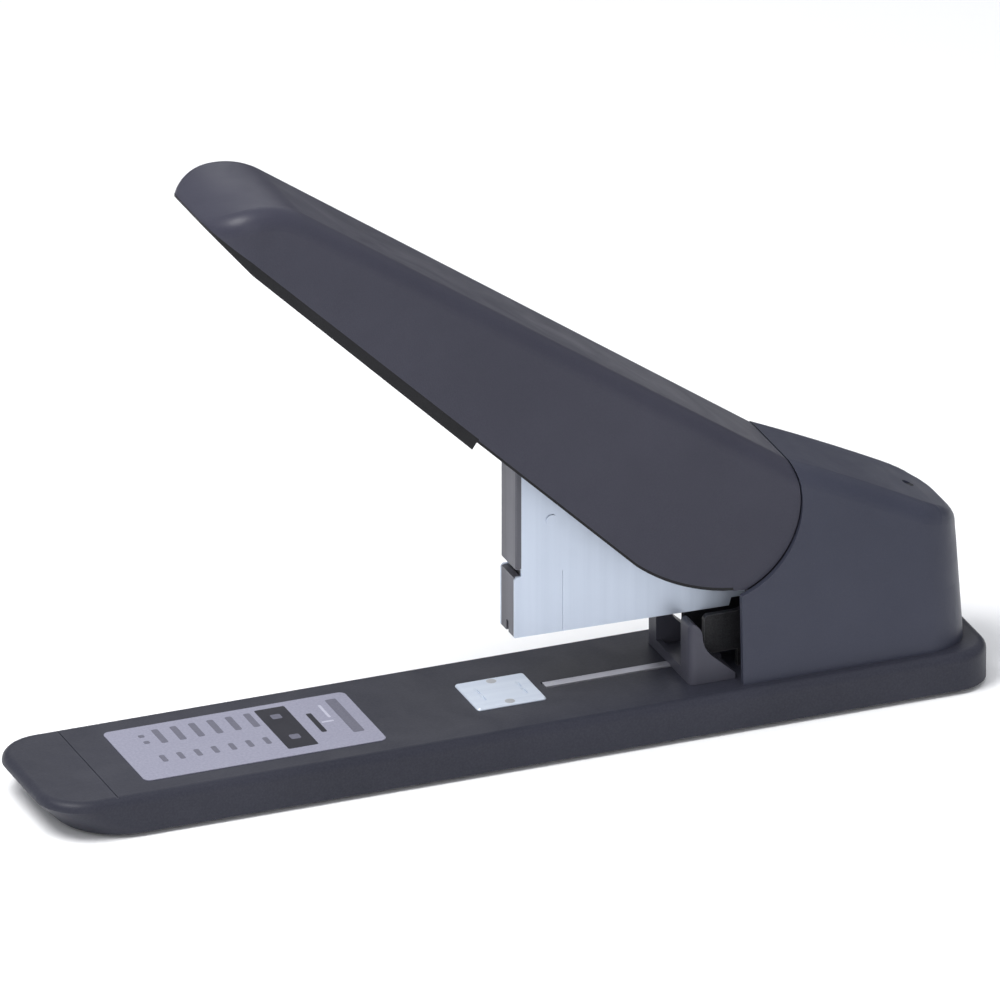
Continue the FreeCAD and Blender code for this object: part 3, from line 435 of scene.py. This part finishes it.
labelFoil = {
    "dark": (0.25, 0.25, 0.32), "light": (0.3, 0.3, 0.38), "metallic": 0.2, "fleckScale": 900.0,
    "driftScale": 25.0, "specular": 0.3, "roughLow": 0.46, "roughHigh": 0.56, "coat": 0.1,
    "coatRoughness": 0.35, "bump": 0.08, "bumpDepth": 0.00004,
}
finishes["labelFoil"] = labelFinish("labelFoil", labelFoil)
finishes["inkGrey"] = labelFinish("inkGrey", dict(
    labelFoil, dark=(0.1, 0.1, 0.135), light=(0.13, 0.13, 0.17), metallic=0.0))
finishes["inkPale"] = labelFinish("inkPale", dict(
    labelFoil, dark=(0.4, 0.4, 0.48), light=(0.46, 0.46, 0.55), metallic=0.0))
finishes["inkBlack"] = labelFinish("inkBlack", dict(
    labelFoil, dark=(0.006, 0.006, 0.012), light=(0.01, 0.01, 0.018), metallic=0.0))


paperGrain = {"Grain Scale": 300.0, "Drift Scale": 3.0}
paperShade = 0.985    # how dark the paper's darker patches are, as a share of its colour


def paperFinish(name, look):
    finish, tree, shader = newFinish(name, 0.0, look["specular"])
    grain = fillEffect(tree, mouldGrain, (-700, 200), paperGrain)
    drift = spread(tree, (-450, 200), grain.outputs["Drift"], 0.0, 1.0)
    shade = tuple(part * paperShade for part in look["colour"])
    colour = mixColour(tree, (-150, 200), drift, shade, look["colour"])
    tree.links.new(colour, shader.inputs["Base Color"])
    shader.inputs["Roughness"].default_value = look["roughness"]
    return finish


nodeFinishes = {
    "charcoalPlastic": ["handle_cover"],
    "housingPlastic": ["rear_housing"],
    "baseEnamel": ["base_tray"],
    "stopPlastic": ["paper_stop", "staple_pusher"],
    "blackPlastic": ["handle_liner", "base_bottom_plate"],
    "framePaint": ["frame_plate_near", "frame_plate_far", "lever_channel"],
    "footRubber": ["rubber_feet"],
    "acetal": ["stop_glide"],
    "magazineSteel": ["magazine_casing", "casing_rivets"],
    "noseSteel": ["front_plate", "nose_plate"],
    "anvilSteel": ["anvil_plate"],
    "railSteel": ["stop_rail"],
    "groundSteel": ["handle_pivot_pin", "magazine_pivot_pin", "press_bar", "driver_blade", "driver_head",
                    "magazine_core", "spring_seat", "pusher_rod"],
    "zincPlate": ["bottom_plate_screws", "anvil_screws", "rail_screws", "frame_spacers", "frame_bolts",
                  "frame_nuts", "housing_screws", "cover_screws", "stop_screws", "pivot_washers"],
    "blackOxide": ["housing_top_screw", "pivot_clips"],
    "springWire": ["head_return_spring", "pusher_spring", "driver_return_spring"],
    "stapleWire": ["staple_strip"],
    "labelFoil": ["base_label"],
}


def coverWith(piece, finishName):
    piece.data.materials.clear()
    piece.data.materials.append(finishes[finishName])


def dressNodes():
    for finishName, nodeNames in nodeFinishes.items():
        for nodeName in nodeNames:
            coverWith(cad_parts[nodeName], finishName)


dressNodes()
print("finishes on", len(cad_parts), "nodes")


# helpers for the new pieces

def deselectAll():
    if bpy.context.object and bpy.context.object.mode != "OBJECT":
        bpy.ops.object.mode_set(mode="OBJECT")
    bpy.ops.object.select_all(action="DESELECT")


def pickOnly(piece):
    deselectAll()
    piece.select_set(True)
    bpy.context.view_layer.objects.active = piece


def applyPlace(piece):
    # leaves the object at the world's origin, with its place in its mesh
    pickOnly(piece)
    bpy.ops.object.transform_apply(location=True, rotation=True, scale=True)


mergeGap = 0.000001


def closeMesh(piece):
    pickOnly(piece)
    bpy.ops.object.mode_set(mode="EDIT")
    bpy.ops.mesh.select_all(action="SELECT")
    bpy.ops.mesh.remove_doubles(threshold=mergeGap)
    bpy.ops.mesh.normals_make_consistent(inside=False)
    bpy.ops.object.mode_set(mode="OBJECT")


def selectFaces(piece, wanted):
    # wanted is a test on a face's centre and normal
    bpy.ops.mesh.select_all(action="DESELECT")
    bpy.ops.mesh.select_mode(type="FACE")
    bpy.ops.object.mode_set(mode="OBJECT")
    for face in piece.data.polygons:
        face.select = wanted(face.center, face.normal)
    bpy.ops.object.mode_set(mode="EDIT")


def copyPiece(piece, shift):
    # a copy with its own mesh, moved by shift
    pickOnly(piece)
    bpy.ops.object.duplicate(linked=False)
    bpy.ops.transform.translate(value=shift)
    copy = bpy.context.object
    applyPlace(copy)
    return copy


def joinPieces(name, pieces):
    deselectAll()
    for piece in pieces:
        piece.select_set(True)
    bpy.context.view_layer.objects.active = pieces[0]
    bpy.ops.object.join()
    whole = bpy.context.object
    whole.name = name
    return whole


# springs: wound wire with closed ends

wireFacets = 3         # bevel steps round the wire
smoothBelow = 50.0     # degrees; sharper edges stay sharp
springLooks = {
    "headReturnCoil": {
        "node": "head_return_spring", "body": "base", "joint": "magazine_tilt", "axis": (0, 0, 1),
        "wire": 0.0009, "turns": 6.5, "stepsPerTurn": 28, "keep": 0.795},
    "driverReturnCoil": {
        "node": "driver_return_spring", "body": "magazine", "joint": "driver_stroke", "axis": (0, 0, 1),
        "wire": 0.0008, "turns": 11.0, "stepsPerTurn": 26, "keep": 0.523},
    "pusherCoil": {
        "node": "pusher_spring", "body": "magazine", "joint": "pusher_slide", "axis": (1, 0, 0),
        "wire": 0.0004, "turns": 11.0, "stepsPerTurn": 22, "keep": 0.336},
}


def springHeight(turnsDone, values, length):
    # one closed turn at each end, an even pitch between
    endPitch = 2 * values["wire"]
    openTurns = values["turns"] - 2
    openPitch = (length - 2 * endPitch) / openTurns
    middle = min(max(turnsDone - 1, 0), openTurns)
    last = max(turnsDone - 1 - openTurns, 0)
    return endPitch * (min(turnsDone, 1) + last) + openPitch * middle


def windSpring(name, values):
    low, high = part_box(values["node"])
    along = 2 if values["axis"][2] else 0
    across = [side for side in range(3) if side != along]
    centre = [(low[side] + high[side]) / 2 for side in range(3)]
    coilRadius = (high[1] - low[1]) / 2 - values["wire"]
    length = high[along] - low[along] - 2 * values["wire"]
    steps = int(values["turns"] * values["stepsPerTurn"])
    deselectAll()
    bpy.ops.curve.primitive_nurbs_path_add(location=(0, 0, 0))
    coil = bpy.context.object
    coil.name = name
    coil.data.splines.clear()
    wireLine = coil.data.splines.new("POLY")
    wireLine.points.add(steps)
    for step in range(steps + 1):
        turnsDone = values["turns"] * step / steps
        angle = turnsDone * math.tau
        spot = list(centre)
        spot[across[0]] += coilRadius * math.cos(angle)
        spot[across[1]] += coilRadius * math.sin(angle)
        spot[along] = low[along] + values["wire"] + springHeight(turnsDone, values, length)
        wireLine.points[step].co = (*spot, 1)
    coil.data.dimensions = "3D"
    coil.data.bevel_depth = values["wire"]
    coil.data.bevel_resolution = wireFacets
    coil.data.use_fill_caps = True
    bpy.ops.object.convert(target="MESH")
    closeMesh(coil)
    bpy.ops.object.shade_smooth_by_angle(angle=math.radians(smoothBelow))
    coverWith(coil, "springWire")
    anchor = list(centre)
    anchor[along] = high[along] if values["axis"][0] else low[along]
    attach(coil, values["body"])
    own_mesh(coil)
    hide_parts(values["node"])


for springName, springValues in springLooks.items():
    windSpring(springName, springValues)
print("springs wound:", len(springLooks))


# the glued strip of staples

stapleLook = {"pitch": 0.00081, "wireWidth": 0.0007, "crown": 0.0012, "leg": 0.001, "edge": 0.0001}
facingDown = -0.9    # a face whose normal's z is under this looks down


def bendStaple(name, low, high, values):
    # one staple: a crown bar whose two ends are drawn down into legs
    halfWidth = (high[1] - low[1]) / 2
    middleY = (high[1] + low[1]) / 2
    crownLow = high[2] - values["crown"]
    deselectAll()
    bpy.ops.mesh.primitive_cube_add(size=1, location=(
        low[0] + values["wireWidth"] / 2, middleY, high[2] - values["crown"] / 2))
    staple = bpy.context.object
    staple.name = name
    staple.scale = (values["wireWidth"], 2 * halfWidth, values["crown"])
    applyPlace(staple)
    bpy.ops.object.mode_set(mode="EDIT")
    for side in (-1, 1):
        bpy.ops.mesh.select_all(action="SELECT")
        bpy.ops.mesh.bisect(plane_co=(0, middleY + side * (halfWidth - values["leg"]), 0),
                            plane_no=(0, 1, 0))
    legStart = halfWidth - values["leg"]
    selectFaces(staple, lambda centre, normal: normal.z < facingDown and abs(centre.y - middleY) > legStart)
    bpy.ops.mesh.extrude_region_move(TRANSFORM_OT_translate={"value": (0, 0, low[2] - crownLow)})
    bpy.ops.object.mode_set(mode="OBJECT")
    return staple


def makeStapleStrip(values):
    low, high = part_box("staple_strip")
    strip = bendStaple("stapleRow", low, high, values)
    soften = strip.modifiers.new("soften", "BEVEL")
    soften.width = values["edge"]
    soften.segments = 1
    row = strip.modifiers.new("row", "ARRAY")
    row.use_relative_offset = False
    row.use_constant_offset = True
    row.constant_offset_displace = (values["pitch"], 0, 0)
    row.count = int((high[0] - low[0] - values["wireWidth"]) / values["pitch"]) + 1
    pickOnly(strip)
    for modifier in ("soften", "row"):
        bpy.ops.object.modifier_apply(modifier=modifier)
    closeMesh(strip)
    coverWith(strip, "stapleWire")
    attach(strip, "magazine")
    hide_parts("staple_strip")


makeStapleStrip(stapleLook)
print("staple strip made")


# the label's print: plain bars, dots and panels

labelPrint = {
    "thick": 0.00006,
    "sink": 0.00001,
    "corner": 0.0008,
    "cornerShare": 0.45,    # a corner takes no more than this share of the mark's narrow side
    "cornerSteps": 4,
    "farBars": {"u": 0.197, "step": 0.076, "count": 6, "v": 0.765, "size": (0.003, 0.0135)},
    "nearBars": {"u": 0.139, "step": 0.071, "count": 7, "v": 0.352, "size": (0.0024, 0.0065)},
    "dots": [(0.13, 0.815), (0.13, 0.69)],
    "dotSize": 0.0026,
    "panel": {"u": 0.6765, "v": 0.5275, "size": (0.0135, 0.0397)},
    "panelDots": [(0.676, 0.752), (0.678, 0.337)],
    "panelDotSize": 0.0044,
    "darkBar": {"u": 0.8, "v": 0.52, "size": (0.0024, 0.019)},
    "greyBar": {"u": 0.925, "v": 0.565, "size": (0.0049, 0.0335)},
    "paleBars": [(0.866, 0.7, 0.0012, 0.0125), (0.845, 0.51, 0.0055, 0.0012)],
}


def labelSpot(u, v):
    low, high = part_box("base_label")
    return (low[0] + u * (high[0] - low[0]), low[1] + v * (high[1] - low[1]), high[2])


def printMark(name, u, v, size, values, lift=0.0):
    spot = labelSpot(u, v)
    deselectAll()
    bpy.ops.mesh.primitive_plane_add(size=1, location=(spot[0], spot[1], spot[2] - values["sink"] + lift))
    mark = bpy.context.object
    mark.name = name
    mark.scale = (*size, 1)
    applyPlace(mark)
    bpy.ops.object.mode_set(mode="EDIT")
    bpy.ops.mesh.select_all(action="SELECT")
    corner = min(values["corner"], min(size) * values["cornerShare"])
    bpy.ops.mesh.bevel(offset=corner, segments=values["cornerSteps"], affect="VERTICES")
    bpy.ops.mesh.select_all(action="SELECT")
    bpy.ops.mesh.extrude_region_move(TRANSFORM_OT_translate={"value": (0, 0, values["thick"])})
    bpy.ops.object.mode_set(mode="OBJECT")
    closeMesh(mark)
    return mark


def printRow(name, row, values):
    first = printMark(name, row["u"], row["v"], row["size"], values)
    stepX = labelSpot(row["step"], 0)[0] - labelSpot(0, 0)[0]
    return [first] + [copyPiece(first, (stepX * place, 0, 0)) for place in range(1, row["count"])]


def finishPrint(name, marks, finishName):
    ink = joinPieces(name, marks)
    coverWith(ink, finishName)
    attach(ink, "base")


def printLabel(values):
    grey = printRow("farBar", values["farBars"], values)
    grey += printRow("nearBar", values["nearBars"], values)
    for u, v in values["dots"]:
        grey.append(printMark("dot", u, v, (values["dotSize"], values["dotSize"]), values))
    greyBar = values["greyBar"]
    grey.append(printMark("greyBar", greyBar["u"], greyBar["v"], greyBar["size"], values))
    black = []
    for piece in ("panel", "darkBar"):
        black.append(printMark(piece, values[piece]["u"], values[piece]["v"], values[piece]["size"], values))
    finishPrint("labelPanels", black, "inkBlack")
    dotSize = (values["panelDotSize"], values["panelDotSize"])
    for u, v in values["panelDots"]:
        grey.append(printMark("panelDot", u, v, dotSize, values, values["thick"]))
    finishPrint("labelMarks", grey, "inkGrey")
    pale = []
    for u, v, width, depth in values["paleBars"]:
        pale.append(printMark("paleBar", u, v, (width, depth), values))
    finishPrint("labelPaleMarks", pale, "inkPale")


printLabel(labelPrint)
print("label printed")


# floor

def layFloor(values):
    bpy.ops.mesh.primitive_plane_add(size=values["size"], location=(0, 0, cadBox[0][2]))
    floor = bpy.context.object
    floor.name = "studioFloor"
    floor.data.materials.append(paperFinish("floorPaper", values))


layFloor(floorSet)
print("floor laid")


# a dark card behind the object keeps the bright horizon out of the handle's top
# it also hides the object from low angles behind; without it, that top turns lighter

darkCard = {
    "at": (0.86, 1.35, 0.3), "width": 3.2, "height": 0.6,
    "colour": (0.03, 0.03, 0.035), "roughness": 0.9, "specular": 0.2,
}


def standCard(values):
    place = Vector(values["at"])
    bpy.ops.mesh.primitive_plane_add(size=1, location=place)
    card = bpy.context.object
    card.name = "studioCard"
    card.scale = (values["width"], values["height"], 1)
    card.rotation_euler = Vector((-place.x, -place.y, 0)).to_track_quat("Z", "Y").to_euler()
    applyPlace(card)
    card.data.materials.append(paperFinish("cardPaper", values))


standCard(darkCard)
print("dark card stood behind")
